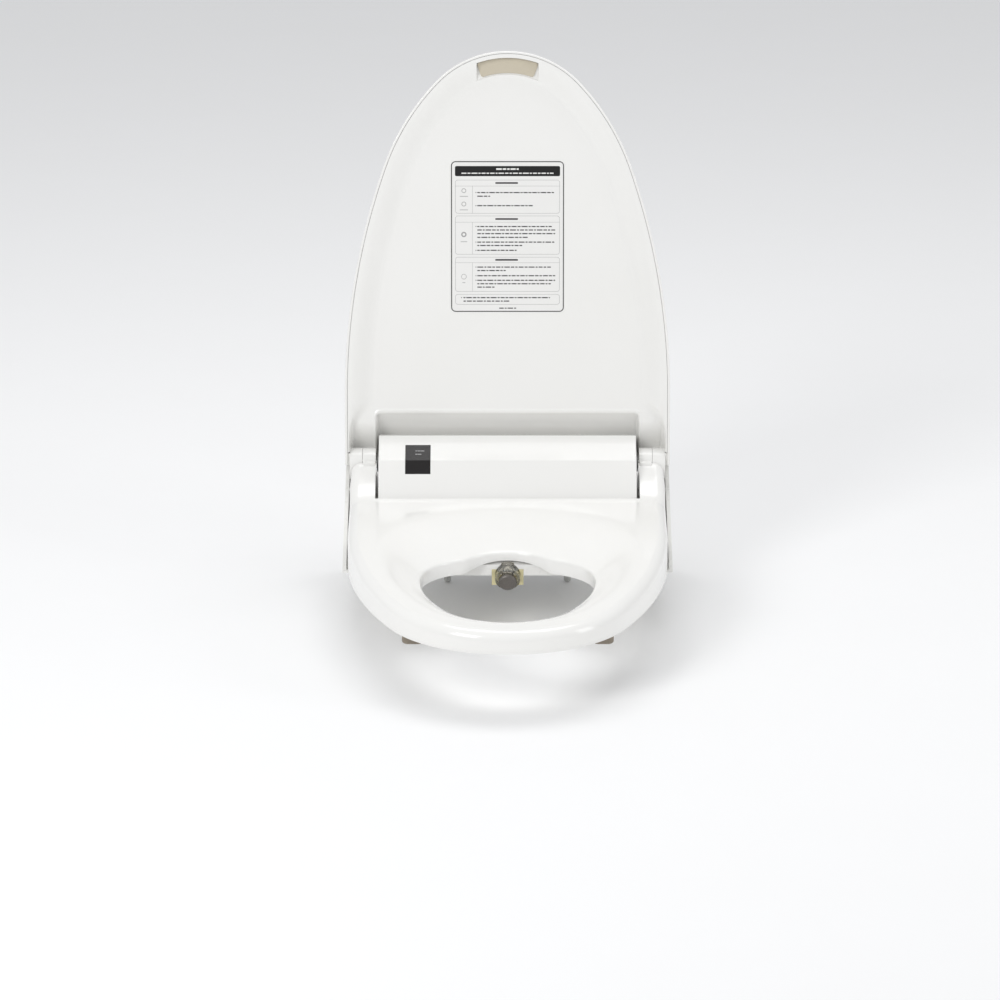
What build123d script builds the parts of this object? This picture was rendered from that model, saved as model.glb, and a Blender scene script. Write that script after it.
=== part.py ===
from build123d import *
import math
import os

os.makedirs("parts", exist_ok=True)

# Frame: origin midway between the two fixing bolts on the bowl's deck, front of the seat toward -Y, +Z up.
HINGE_Z = 82.0            # lid and seat turn about this line, straight above the bolts
LID_REST = -100.0         # the lid leans 10 degrees back past upright when raised
LID_LENGTH = 479.0
LID_RIM = -17.0           # the lid's rim below its hinge plane
LID_WALL = 3.0
SEAT_TIP = -463.0
SEAT_BOTTOM = 12.0
SEAT_WALL = 3.0
COWL_HALF = 149.0
BODY_HALF = 188.0
BODY_REAR = 46.0
WING_IN = 183.6
WALL = 2.5
HUB_R = 18.5
SEAT_HUB = (152.5, 167.3)
LID_HUB = (168.3, 182.6)
SHAFT_R = 5.0
BOLT_SPACING = 140.0
BOLT_R = 4.0
NOZZLE_TILT = 18.0        # degrees below level, pointing forward
NOZZLE_MOUTH = (0, -172.0, 0.5)
NOZZLE_R = 10.4
RACK_X = 12.5
GEAR_R = 6.0
TEETH = 12
GEAR_AT = -100.0          # the pinion's place along the nozzle, behind its mouth

HINGE = Axis((0, 0, HINGE_Z), (1, 0, 0))
NOZZLE = Plane(
    origin=NOZZLE_MOUTH,
    x_dir=(1, 0, 0),
    z_dir=(0, -math.cos(math.radians(NOZZLE_TILT)), -math.sin(math.radians(NOZZLE_TILT))),
)


def block(x0, x1, y0, y1, z0, z1):
    return Pos((x0 + x1) / 2, (y0 + y1) / 2, (z0 + z1) / 2) * Box(x1 - x0, y1 - y0, z1 - z0)


def both(shape):
    return shape + mirror(shape, Plane.YZ)


def slab_x(points, x0, x1):
    """A profile in the YZ plane, given thickness along X."""
    return extrude(Plane.YZ.offset(x0) * Polygon(*points, align=None), x1 - x0, dir=(1, 0, 0))


def rod_x(r, x0, x1, y=0.0, z=HINGE_Z):
    return Pos((x0 + x1) / 2, y, z) * Rot(0, 90, 0) * Cylinder(r, x1 - x0)


def rod_y(r, y0, y1, x, z):
    return Pos(x, (y0 + y1) / 2, z) * Rot(90, 0, 0) * Cylinder(r, y1 - y0)


def rod_z(r, z0, z1, x, y):
    return Pos(x, y, (z0 + z1) / 2) * Cylinder(r, z1 - z0)


def arc_face(start_y, steps, tail=None):
    """A face symmetric about X = 0, from tangent arcs given as (radius, turn) that start level at X = 0."""
    x, y, heading = 0.0, start_y, 0.0
    edges = []
    for radius, turn in steps:
        k = math.copysign(1 / radius, turn)
        mid = heading + math.radians(turn) / 2
        end = heading + math.radians(turn)
        p0 = (x, y)
        p1 = (x + (math.sin(mid) - math.sin(heading)) / k, y - (math.cos(mid) - math.cos(heading)) / k)
        p2 = (x + (math.sin(end) - math.sin(heading)) / k, y - (math.cos(end) - math.cos(heading)) / k)
        if tail is None and abs(p2[0]) < 0.1:
            p2 = (0.0, p2[1])
        edges.append(ThreePointArc(p0, p1, p2))
        x, y, heading = p2[0], p2[1], end
    if tail is not None:
        edges.append(Line((x, y), (x, tail)))
        edges.append(Line((x, tail), (0, tail)))
    mirrored = [edge.mirror(Plane.YZ) for edge in edges]
    face = Face(Wire([*edges, *mirrored]))
    return face if face.normal_at().Z > 0 else -face


def write(shape, name):
    export_step(shape, f"parts/{name}.step")


# ---------------------------------------------------------------- lid, drawn level, then raised

LID_FACE = arc_face(-LID_LENGTH, [(114, 46), (272, 24.5), (790, 19.5)], tail=0.0)
CROWN = [(0, 38.5), (-25, 38.0), (-60, 33.0), (-110, 26.0), (-250, 17.5), (-400, 9.0), (-479, 2.5)]
DISH_FLOOR = -8.0


def crown_body(drop, base):
    """Everything under the lid's crown line lowered by drop, down to the level base."""
    line = Spline(*[(y, z - drop) for y, z in CROWN])
    last = CROWN[-1][1] - drop
    first = CROWN[0][1] - drop
    rest = Polyline((-479, last), (-530, last - 1), (-530, base), (40, base), (40, first), (0, first))
    face = make_face(Plane.YZ * (Curve() + [line, rest]))
    return extrude(face, 220, both=True)


def raise_lid(shape):
    return Pos(0, 0, HINGE_Z) * Rot(LID_REST, 0, 0) * shape


def lid_solid(inset):
    """The lid's filled form, moved inward by inset."""
    face = LID_FACE if inset == 0 else offset(LID_FACE, -inset)
    body = extrude(Plane.XY.offset(LID_RIM - 20) * face, 90)
    body = body & crown_body(inset, LID_RIM - (10 if inset else 0))
    rim = [e for e in body.edges() if is_crown_rim(e, inset)]
    return fillet(rim, 13.0 - inset)


def is_crown_rim(edge, inset):
    m = edge.position_at(0.5)
    return abs(m.X) > 1.5 and m.Z > LID_RIM + 3 and abs(edge.tangent_at(0.5).Z) < 0.5 and m.Y < -2 - inset


def lid_outer_shell():
    shell = lid_solid(0) - lid_solid(LID_WALL) - block(-184, 184, -5, 2, -40, 35.3)
    hub = rod_x(HUB_R, LID_HUB[0], LID_HUB[1], 0, 0)
    web = block(LID_HUB[0], LID_HUB[1], -16, 0, 0, 36)
    hub = hub + web
    hub = hub - rod_x(SHAFT_R, LID_HUB[0] - 1, 178.5, 0, 0)
    hub_left = mirror(rod_x(HUB_R, LID_HUB[0], LID_HUB[1], 0, 0) + web, Plane.YZ)
    hub_left = hub_left - rod_x(6.5, -181, -LID_HUB[0] + 1, 0, 0)
    side = block(LID_HUB[1] - 0.5, 185.5, -14, 0, -15, 30)
    return shell + hub + side + hub_left + mirror(side, Plane.YZ)


def lid_inner_panel():
    """The dished lining, its rim strip, the ramp of the centre recess and the two side lobes over the seat arms."""
    top = extrude(Plane.XY.offset(LID_RIM) * offset(LID_FACE, -LID_WALL - 0.1), 14.5)
    dish = loft([
        Plane.XY.offset(LID_RIM - 0.01) * offset(LID_FACE, -9),
        Plane.XY.offset(DISH_FLOOR) * offset(LID_FACE, -34),
    ])
    back = loft([
        Plane.XY.offset(LID_RIM + 2.5) * offset(LID_FACE, -6),
        Plane.XY.offset(LID_RIM + 14.51) * offset(LID_FACE, -40),
    ])
    panel = (top & lid_solid(LID_WALL + 0.1)) - dish
    skin = back & block(-200, 200, -500, 0, LID_RIM + 2.5, DISH_FLOOR + 2.5)
    hollow = skin - offset_floor() - block(-46, 46, -480, -426, -40, 40)
    panel = panel - hollow
    panel = panel - Pos(0, 0, -14) * grip_profile(1.5, 12)
    panel = panel - block(-200, 200, -62, 5, -40, 40)
    panel = panel & block(-200, 200, -500, 5, -40, DISH_FLOOR + 2.5)
    ramp = slab_x([(-62.5, -8), (-60, -8), (-36, 20), (-9, 33), (-9, 35), (-37.5, 23), (-62.5, -5.5)], -153, 153)
    lobe = slab_x([(-62.5, -8), (-60, -8), (-24, 16), (-24, 19), (-62.5, -5)], 152, 184.9)
    cheek = slab_x([(-62.5, -8), (-60, -8), (-24, 15.9), (-17, 15.9), (-11, 24), (-10, 33), (-37.5, 23), (-62.5, -5.5)], 151, 153.5)
    return panel + ramp + both(lobe) + both(cheek)


def offset_floor():
    """Keeps the dish floor solid where the back of the lining is hollowed."""
    return loft([
        Plane.XY.offset(LID_RIM - 0.01) * offset(LID_FACE, -6.5),
        Plane.XY.offset(DISH_FLOOR + 2.6) * offset(LID_FACE, -32.5),
    ])


def grip_profile(grow, height):
    """The curved finger grip near the tip, an arched bar."""
    band = Pos(0, -378.5, 0) * (Cylinder(92 + grow, height) - Cylinder(74 - grow, height))
    return band & block(-34 - grow, 34 + grow, -480, -430, -20, 20)


def lid_grip_pad():
    return Pos(0, 0, -9.5) * grip_profile(0, 3)


def lid_label():
    face = Pos(0, -265, 0) * RectangleRounded(131, 175, 5)
    return extrude(Plane.XY.offset(DISH_FLOOR - 0.3) * face, 0.3)


def lid_damper_shaft():
    return rod_x(SHAFT_R, 127, 178.5)


# ---------------------------------------------------------------- seat

SEAT_FACE = arc_face(SEAT_TIP, [(141, 64), (545, 26)], tail=30.0)
OPENING = [(58, -48), (40, 25), (67, -67), (208.5, -35), (73.6, -55)]
DISH_TOP = [(300, -12), (60.336, -28), (171.853, -50), (302.263, -35), (116.384, -55)]
SEAT_TOP = [(-520, 33.0), (-62, 58.0), (-40, 72.5), (-16, 92.5), (30, 96.0)]
SEAT_UNDER = [(-520, 12.0), (-190, 12.0), (-62, 30.0), (-22, 61.0), (30, 61.0)]
BRIDGE_UNDER = [(-190, 12.0), (-178, 15.4), (-62, 52.6), (-40, 60.0)]


def seat_top(drop):
    points = [(y, z - drop) for y, z in SEAT_TOP]
    return slab_x([(-520, -10), *points, (30, -10)], -200, 200)


def seat_under(up):
    points = [(y, z + up) for y, z in SEAT_UNDER]
    under = slab_x([(-520, -10), *points, (30, -10)], -200, 200)
    bridge = [(y, z + up) for y, z in BRIDGE_UNDER]
    return under + slab_x([(-190, -10), *bridge, (-40, -10)], -135 - up, 135 + up)


def dish(grow):
    low = arc_face(-166, OPENING)
    high = arc_face(-64, DISH_TOP)
    if grow:
        low = offset(low, grow)
        high = offset(high, grow)
    slope = math.degrees(math.atan2(25.0, 458.0))
    tilt = Pos(0, -62, 58.6 + grow * 0.2) * Rot(slope, 0, 0) * Pos(0, 62, 0)
    bowl = loft([Plane.XY.offset(28.0 - grow) * low, tilt * high])
    hole = extrude(Plane.XY.offset(0) * low, 29.0 - grow)
    return bowl + hole


def seat_filled(inset):
    face = SEAT_FACE if inset == 0 else offset(SEAT_FACE, -inset)
    body = extrude(Plane.XY * face, 120) & seat_top(inset)
    rim = [e for e in body.edges() if is_seat_rim(e)]
    return fillet(rim, 12.0 - inset)


def is_seat_rim(edge):
    m = edge.position_at(0.5)
    return abs(m.X) > 1.5 and m.Z > 25 and abs(edge.tangent_at(0.5).Z) < 0.85 and m.Y < 25


def rear_cut(grow):
    """Room for the cowl between the arms, for the lid's hubs and for everything behind the hinge."""
    gap = block(-SEAT_HUB[0] - grow, SEAT_HUB[0] + grow, -62 - grow, 60, -20, 140)
    behind = rod_x(19.5 + grow, -200, 200) + block(-200, 200, 0, 60, -20, 140)
    return gap + behind


def seat_upper_shell():
    outer = seat_filled(0) - dish(0) - rear_cut(0)
    inner = seat_filled(SEAT_WALL) - dish(SEAT_WALL) - rear_cut(SEAT_WALL)
    shell = outer - inner - seat_under(SEAT_WALL)
    hub = rod_x(HUB_R, SEAT_HUB[0], SEAT_HUB[1])
    neck = slab_x([(0, 68), (-22, 64), (-24, 82), (-8, 97), (0, 97)], SEAT_HUB[0], SEAT_HUB[1])
    left = mirror(hub + neck, Plane.YZ) - rod_x(SHAFT_R, -200, -100)
    right = (hub + neck) - rod_x(7.0, 100, 200)
    return shell + left + right


def seat_lower_shell():
    plate = seat_filled(0) - dish(0) - rear_cut(0)
    plate = plate & seat_under(SEAT_WALL - 0.0)
    return plate - seat_under(0)


def seat_heater():
    band = extrude(Plane.XY * offset(SEAT_FACE, -14), 120)
    band = band & (seat_top(SEAT_WALL) - seat_top(SEAT_WALL + 0.5))
    band = band - extrude(Plane.XY * offset(arc_face(-64, DISH_TOP), 4), 120)
    return band & block(-200, 200, -500, -75, 0, 100)


def seat_feet():
    feet = []
    for x, y in ((104, -388), (150, -215)):
        for side in (-1, 1):
            foot = Pos(side * x, y, 6) * Box(24, 18, 12)
            foot = fillet(foot.edges().filter_by(Axis.Z), 7)
            feet.append(fillet(foot.faces().sort_by(Axis.Z)[0].edges(), 2.5))
    return Compound(feet)


def seat_damper_shaft():
    return rod_x(SHAFT_R, -SEAT_HUB[1], -127) + rod_x(4.0, -178, -SEAT_HUB[1])


def bush(r_out, r_in, x0, x1):
    return rod_x(r_out, x0, x1) - rod_x(r_in, x0 - 1, x1 + 1)


# ---------------------------------------------------------------- body

COWL_LINE = [(-60, 57), (-35, 97), (1, 115)]


def cowl_profile(inset):
    """The cowl's side view: two flats to the crest, an arc about the hinge line, a rear wall and ledge."""
    r = 33.5 - inset
    outer = Polyline(
        (-60 + 1.18 * inset, 57),
        (-35 + 0.75 * inset, 97 - 0.75 * inset),
        (1.0, math.sqrt(r * r - 1) + HINGE_Z),
    )
    crest = (1.0, math.sqrt(r * r - 1) + HINGE_Z)
    arc = ThreePointArc(crest, (r * math.cos(math.radians(45)), HINGE_Z + r * math.sin(math.radians(45))), (r, HINGE_Z))
    rear = Polyline(
        (r, HINGE_Z),
        (r, 70 - inset),
        (BODY_REAR - inset, 66 - inset),
        (BODY_REAR - inset, 57),
        (-60 + 1.18 * inset, 57),
    )
    return make_face(Plane.YZ * (Curve() + [outer, arc, rear]))


def top_cover():
    outer = extrude(cowl_profile(0), COWL_HALF, both=True)
    creases = [e for e in outer.edges() if abs(e.tangent_at(0.5).X) > 0.99 and e.position_at(0.5).Z > 90]
    outer = fillet(creases, 1.5)
    ends = [e for e in outer.edges() if abs(abs(e.position_at(0.5).X) - COWL_HALF) < 0.01 and e.position_at(0.5).Z > 60]
    outer = fillet(ends, 1.2)
    inner = extrude(cowl_profile(WALL), COWL_HALF - WALL, both=True)
    cover = outer - inner
    cover = cover - rod_x(10.0, -160, 160)
    cover = cover - window_prism(0.15)
    for x in (-130, 130):
        cover = cover - rod_z(1.8, 55, 75, x, 40) - rod_z(3.4, 65.95, 75, x, 40)
    return cover


def window_prism(grow):
    profile = [(-43.6, 83.2), (-35, 97), (-12.6, 108.5), (-11.5, 106.2), (-33.1, 94.9), (-41.4, 81.8)]
    face = Plane.YZ.offset(-118 - grow) * Polygon(*profile, align=None)
    face = offset(face, grow) if grow else face
    return extrude(face, 29 + 2 * grow, dir=(1, 0, 0))


def base_tray():
    side_profile = [(46, 0), (46, 57), (-18, 57), (-56, 20), (-56, 0)]
    front_profile = [(-60, 0), (-60, 47.3), (-168, 11.5), (-168, 2), (-158, 0)]
    tray = block(-COWL_HALF, COWL_HALF, -60, BODY_REAR, 0, 57)
    tray = tray + both(slab_x(side_profile, COWL_HALF - 1, BODY_HALF))
    tray = tray + slab_x(front_profile, -130, 130)
    tray = tray + block(-BODY_HALF, BODY_HALF, -152, -50, 0, 3)
    tray = tray + both(slab_x([(46, 0), (46, 73), (25, 73), (-148, 6.5), (-152, 3), (-152, 0)], WING_IN, BODY_HALF))
    tray = tray - block(-COWL_HALF + WALL, COWL_HALF - WALL, -60 + WALL, BODY_REAR - WALL, 8, 60)
    pocket = slab_x([(43.5, 3), (43.5, 54.5), (-17, 54.5), (-53, 19.5), (-53, 3)], COWL_HALF - WALL - 1, 185.5)
    tray = tray - both(pocket & block(0, 185.5, -53, 43.5, 0, 60))
    front_room = [(-60, 3), (-60, 52), (-165.5, 15.5), (-165.5, 4), (-158, 3)]
    tray = tray - slab_x(front_room, -127.5, 127.5) - block(-32, 32, -61, -57, 8, 47.2)
    tray = tray - block(-98, 98, -42, 50, -1, 5.3)
    rail = block(84.3, 99, -42, BODY_REAR, 0.3, 2.2) + block(90.3, 99, -42, BODY_REAR, 0.3, 5.4)
    tray = tray + both(rail)
    tray = tray - NOZZLE * Pos(0, 0, -40) * Cylinder(11.2, 420)
    tray = tray - NOZZLE * Pos(0, -3.75, -24) * Box(36.4, 21.9, 80)
    tray = tray - NOZZLE * Pos(0, 0, -2) * Cylinder(14.4, 22)
    tray = tray - rod_y(11.4, 40, 50, 165, 24) - rod_y(8, 40, 50, -165, 24)
    button = block(180, 190, -36.3, -15.7, 13.7, 26.3)
    tray = tray - button
    tray = tray - base_pads()
    for x in (-130, 130):
        tray = tray + (rod_z(5, 8, 57, x, 38) & block(-200, 200, -60, 43.6, 0, 57)) - rod_z(1.5, 30, 60, x, 40)
    return tray


def front_deck():
    """The sloping lid of the nozzle housing, tucked under the seat's rear bridge."""
    deck = slab_x([(-60, 50.6), (-168, 14.8), (-168, 11.5), (-60, 47.3)], -130, 130)
    return deck - NOZZLE * Pos(0, 0, -2) * Cylinder(14.4, 22) - NOZZLE * Pos(0, 0, -100) * Cylinder(11.2, 260)


def hinge_brackets():
    plate = slab_x([(-22, 8), (-16, 97), (16, 97), (22, 8)], 119, 122)
    foot = block(112, 119, -20, 20, 8, 11)
    plate = plate + foot - rod_x(SHAFT_R + 1, 110, 125) - rod_x(4.3, 110, 125, 0, 24)
    return Compound([plate, mirror(plate, Plane.YZ)])


def damper_housing(side):
    can = rod_x(13, 122, 146.5) + rod_x(9.5, 146.5, 151.3) - rod_x(SHAFT_R + 0.06, 124, 160)
    can = can + slab_x([(-4, 94), (-4, 97.5), (4, 97.5), (4, 94)], 122, 125)
    can = can - rod_x(SHAFT_R + 0.06, 124, 160)
    return can if side > 0 else mirror(can, Plane.YZ)


def mounting_plate():
    plate = block(-84, 84, -36, 40, 0, 2.5) + block(-90, 90, -36, 40, 2.5, 5)
    for x in (-70, 70):
        plate = plate - block(x - 11, x + 11, -20, 20, 2.0, 6) - block(x - 4.3, x + 4.3, -14, 14, -1, 3)
    notch = block(82, 91, 12, 20, -1, 6)
    return plate - notch


def bolt_adjusters():
    blocks = []
    for x in (-70, 70):
        piece = block(x - 10.8, x + 10.8, -12, 12, 2.0, 3.4) - block(x - 4.1, x + 4.1, -4.1, 4.1, 1, 4)
        blocks.append(piece)
    return Compound(blocks)


def mounting_bolts():
    bolts = []
    for x in (-70, 70):
        head = Pos(x, 0, 3.4) * extrude(RegularPolygon(6.6, 6), 1.5)
        shank = rod_z(BOLT_R, -62, 0, x, 0)
        shank = chamfer(shank.faces().sort_by(Axis.Z)[0].edges(), 0.8)
        neck = block(x - 4, x + 4, -4, 4, 0, 3.4)      # square, so the bolt can't turn in its slot
        bolts.append(head + neck + shank)
    return Compound(bolts)


def base_pads():
    pads = []
    for x in (-112, 112):
        for y in (-100, 30):
            pads.append(extrude(Pos(x, y, 0) * SlotOverall(24, 10), 1.5, dir=(0, 0, 1)))
    return Compound(pads)


# ---------------------------------------------------------------- nozzle drive

def nozzle_guide():
    guide = NOZZLE * Pos(0, -3.75, -101) * Box(36, 21.5, 190) + block(-10, 10, -12, -2, 8, 46)
    guide = guide - NOZZLE * Pos(0, 0, -101) * Cylinder(NOZZLE_R + 0.4, 200)
    guide = guide - NOZZLE * Pos(0, 0, -4) * Cylinder(14.5, 16)
    guide = guide - NOZZLE * Pos(19.5, 4, -111.5) * Box(22.8, 17, 197)
    guide = guide - NOZZLE * Pos(RACK_X + GEAR_R, 0, GEAR_AT) * Rot(90, 0, 0) * Cylinder(8.2, 9)
    guide = guide - NOZZLE * Pos(RACK_X + GEAR_R, -16, GEAR_AT) * Rot(90, 0, 0) * Cylinder(9.4, 20)
    guide = guide - NOZZLE * Pos(RACK_X + GEAR_R, -5, GEAR_AT) * Rot(90, 0, 0) * Cylinder(1.8, 6)
    guide = guide - block(-60, 60, -60, 60, -30, 8)
    return guide


def nozzle_sleeve():
    ring = Cylinder(14.3, 15) - Cylinder(NOZZLE_R + 0.5, 20)
    return NOZZLE * Pos(0, 0, -4.4) * ring


def nozzle_tube():
    tube = Cylinder(NOZZLE_R, 173) - Cylinder(8.0, 180)
    return NOZZLE * Pos(0, 0, -100.5) * tube


def nozzle_tip():
    tip = Pos(0, 0, -3) * Cylinder(NOZZLE_R, 22) - Pos(0, 0, -3) * Cylinder(8.6, 30)
    tip = tip - Pos(0, NOZZLE_R, 1) * Rot(90, 0, 0) * Cylinder(1.4, 8)
    return NOZZLE * tip


def nozzle_cap():
    cap = Pos(0, 0, 9.4) * Cylinder(NOZZLE_R, 2.8)
    cap = chamfer(cap.faces().sort_by(Axis.Z)[-1].edges(), 1.4)
    plug = Pos(0, 0, 0) * Cylinder(8.6, 16.0)
    return NOZZLE * (cap + plug)


def nozzle_rack():
    """A toothed strip on the tube's right side."""
    pitch = 2 * math.pi * GEAR_R / TEETH
    bar = Pos(10.6, 0, -135.5) * Box(2.2, 7.6, 103) - Pos(0, 0, -106) * Cylinder(NOZZLE_R, 180)
    face = Plane.XZ * Polygon((11.6, -0.7), (13.6, -0.35), (13.6, 0.35), (11.6, 0.7), align=None)
    tooth = extrude(face, 3.8, both=True)
    for i in range(-27, 5):
        bar = bar + Pos(0, 0, GEAR_AT + (i + 0.5) * pitch) * tooth
    return NOZZLE * bar


def drive_pinion():
    """Twelve short teeth on a hub, on the motor's shaft; a tooth sits in the gap between two rack teeth."""
    hub = Cylinder(4.6, 7)
    for i in range(TEETH):
        tooth = extrude(Polygon((4.2, -0.8), (6.6, -0.4), (6.6, 0.4), (4.2, 0.8), align=None), 3.5, both=True)
        hub = hub + Rot(0, 0, i * 360 / TEETH) * tooth
    shaft = Pos(0, 0, -7) * Cylinder(1.5, 7)
    gear = Rot(-90, 0, 0) * (hub + shaft)
    return NOZZLE * Pos(RACK_X + GEAR_R, 0, GEAR_AT) * gear


def nozzle_motor():
    can = Cylinder(9, 14.4) - Pos(0, 0, 4) * Cylinder(1.56, 8)
    return NOZZLE * Pos(RACK_X + GEAR_R, -13.8, GEAR_AT) * Rot(-90, 0, 0) * can


# ---------------------------------------------------------------- water and electrics

def heater_tank():
    tank = fillet(block(42, 112, -38, 34, 8, 60).edges(), 5)
    tank = tank - fillet(block(45, 109, -35, 31, 11, 57).edges(), 3)
    return tank - rod_x(4, 108, 115, 0, 24) - rod_x(4, 40, 46, -20, 14) - rod_z(3, 56, 61, 60, 0) - rod_z(3, 56, 61, 94, 0)


def heater_element():
    legs = rod_z(3, 18, 66, 60, 0) + rod_z(3, 18, 66, 94, 0)
    return legs + rod_x(3, 60, 94, 0, 18)


def flow_sensor_body():
    can = block(122.2, 146, -10, 14, 12, 36) - rod_x(9, 126, 142, 0, 24)
    return can - rod_x(4, 121, 127, 0, 24) - rod_x(4, 141, 147, 0, 24)


def flow_turbine():
    hub = rod_x(2.5, 126.3, 141.7, 0, 24)
    for i in range(6):
        blade = block(129, 139, -0.7, 0.7, 26, 32.6)
        hub = hub + blade.rotate(Axis((0, 0, 24), (1, 0, 0)), i * 60)
    return hub


def valve_body():
    body = block(154, 180, -12, 20, 12, 36)
    body = body - rod_x(4, 150, 158, 0, 24) - rod_y(6, 14, 22, 165, 24) - rod_z(5, 20, 37, 166, 2)
    return body


def valve_coil():
    return rod_z(10, 36, 53, 166, 2) - rod_z(4.6, 30, 50, 166, 2)


def valve_plunger():
    return rod_z(4.5, 21, 46.5, 166, 2)


def inlet_spigot():
    spigot = rod_y(10.48, 46, 60, 165, 24) + rod_y(11.4, 43, 46.2, 165, 24)
    spigot = spigot + rod_y(13, 38, 43.4, 165, 24) + rod_y(6, 20, 38, 165, 24)
    return spigot - rod_y(4, 14, 62, 165, 24)


def hoses():
    a = rod_x(4, 146, 154, 0, 24) - rod_x(2.5, 140, 160, 0, 24)
    b = rod_x(4, 112, 122.2, 0, 24) - rod_x(2.5, 110, 126, 0, 24)
    c = rod_x(4, -28, 42, -20, 14) - rod_x(2.5, -30, 44, -20, 14)
    return Compound([a, b, c])


def selector_body():
    body = block(-62, -28, -38, -6, 8, 26) - rod_z(12.1, 14, 27, -45, -22)
    return body - rod_x(2.5, -34, -27, -20, 11.5)


def selector_rotor():
    disc = rod_z(12, 14.2, 18, -45, -22) + rod_z(2.5, 18, 30, -45, -22)
    return disc - rod_z(2, 13, 19, -45, -15)


def selector_motor():
    return rod_z(13, 26, 42, -45, -22) - rod_z(2.6, 25, 31, -45, -22)


def power_module():
    core = block(-112, -70, -40, -8, 8, 30) + block(-105, -77, -44, -4, 8, 34)
    return core


def control_board():
    return block(-114, -66, 2, 40, 20, 21.6)


def board_posts():
    posts = []
    for x in (-108, -70):
        for y in (6, 36):
            posts.append(rod_z(2.5, 8, 20, x, y))
    return Compound(posts)


def board_components():
    parts = [
        block(-100, -84, 12, 26, 21.6, 24),
        block(-80, -70, 8, 34, 21.6, 31),
        rod_z(4, 21.6, 34, -106, 14),
        rod_z(4, 21.6, 34, -106, 26),
    ]
    return Compound(parts)


def display_board():
    return block(-118.5, -86, -39.2, -14, 82, 83.6)


def indicator_lamps():
    lamps = [block(-107.5, -98, -28.5, -26.5, 83.6, 86), block(-107.5, -98, -22.5, -20.5, 83.6, 86)]
    return Compound(lamps)


def cord_gland():
    gland = rod_y(8, 38, 52, -165, 24) + rod_y(10.5, BODY_REAR, 49, -165, 24)
    return gland - rod_y(3.5, 30, 60, -165, 24)


def release_button():
    cap = block(184, 188.6, -36, -16, 14, 26)
    flange = block(181.2, 185.3, -38, -14, 12, 28)
    stem = block(152, 181.2, -29, -23, 17, 23)
    return fillet(cap.faces().sort_by(Axis.X)[-1].edges(), 1) + flange + stem


def case_screws():
    screws = []
    for x in (-130, 130):
        screws.append(rod_z(1.5, 42, 66, x, 40) + rod_z(3.2, 66, 68, x, 40))
    return Compound(screws)


BASE = {
    "base_tray": base_tray,
    "top_cover": top_cover,
    "front_deck": front_deck,
    "display_window": lambda: window_prism(0),
    "display_board": display_board,
    "indicator_lamps": indicator_lamps,
    "hinge_brackets": hinge_brackets,
    "seat_damper_housing": lambda: damper_housing(-1),
    "lid_damper_housing": lambda: damper_housing(1),
    "mounting_plate": mounting_plate,
    "bolt_adjusters": bolt_adjusters,
    "mounting_bolts": mounting_bolts,
    "base_pads": base_pads,
    "nozzle_guide": nozzle_guide,
    "nozzle_sleeve": nozzle_sleeve,
    "nozzle_motor": nozzle_motor,
    "heater_tank": heater_tank,
    "heater_element": heater_element,
    "flow_sensor_body": flow_sensor_body,
    "valve_body": valve_body,
    "valve_coil": valve_coil,
    "inlet_spigot": inlet_spigot,
    "water_hoses": hoses,
    "selector_body": selector_body,
    "selector_motor": selector_motor,
    "power_module": power_module,
    "control_board": control_board,
    "board_posts": board_posts,
    "board_components": board_components,
    "cord_gland": cord_gland,
    "case_screws": case_screws,
}
MOVERS = {
    "seat_upper_shell": seat_upper_shell,
    "seat_lower_shell": seat_lower_shell,
    "seat_heater": seat_heater,
    "seat_feet": seat_feet,
    "seat_damper_shaft": seat_damper_shaft,
    "seat_bush": lambda: bush(7.0, SHAFT_R + 0.05, SEAT_HUB[0], SEAT_HUB[1]),
    "lid_damper_shaft": lid_damper_shaft,
    "lid_bush": lambda: bush(6.5, 4.05, -181, -LID_HUB[0]),
    "nozzle_tube": nozzle_tube,
    "nozzle_tip": nozzle_tip,
    "nozzle_cap": nozzle_cap,
    "nozzle_rack": nozzle_rack,
    "drive_pinion": drive_pinion,
    "release_button": release_button,
    "valve_plunger": valve_plunger,
    "flow_turbine": flow_turbine,
    "selector_rotor": selector_rotor,
}
LID = {
    "lid_outer_shell": lid_outer_shell,
    "lid_inner_panel": lid_inner_panel,
    "lid_grip_pad": lid_grip_pad,
    "lid_label": lid_label,
}
for name, make in {**BASE, **MOVERS}.items():
    write(make(), name)
for name, make in LID.items():
    write(raise_lid(make()), name)
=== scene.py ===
import bpy, bmesh, math
from mathutils import Matrix, Vector


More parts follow.
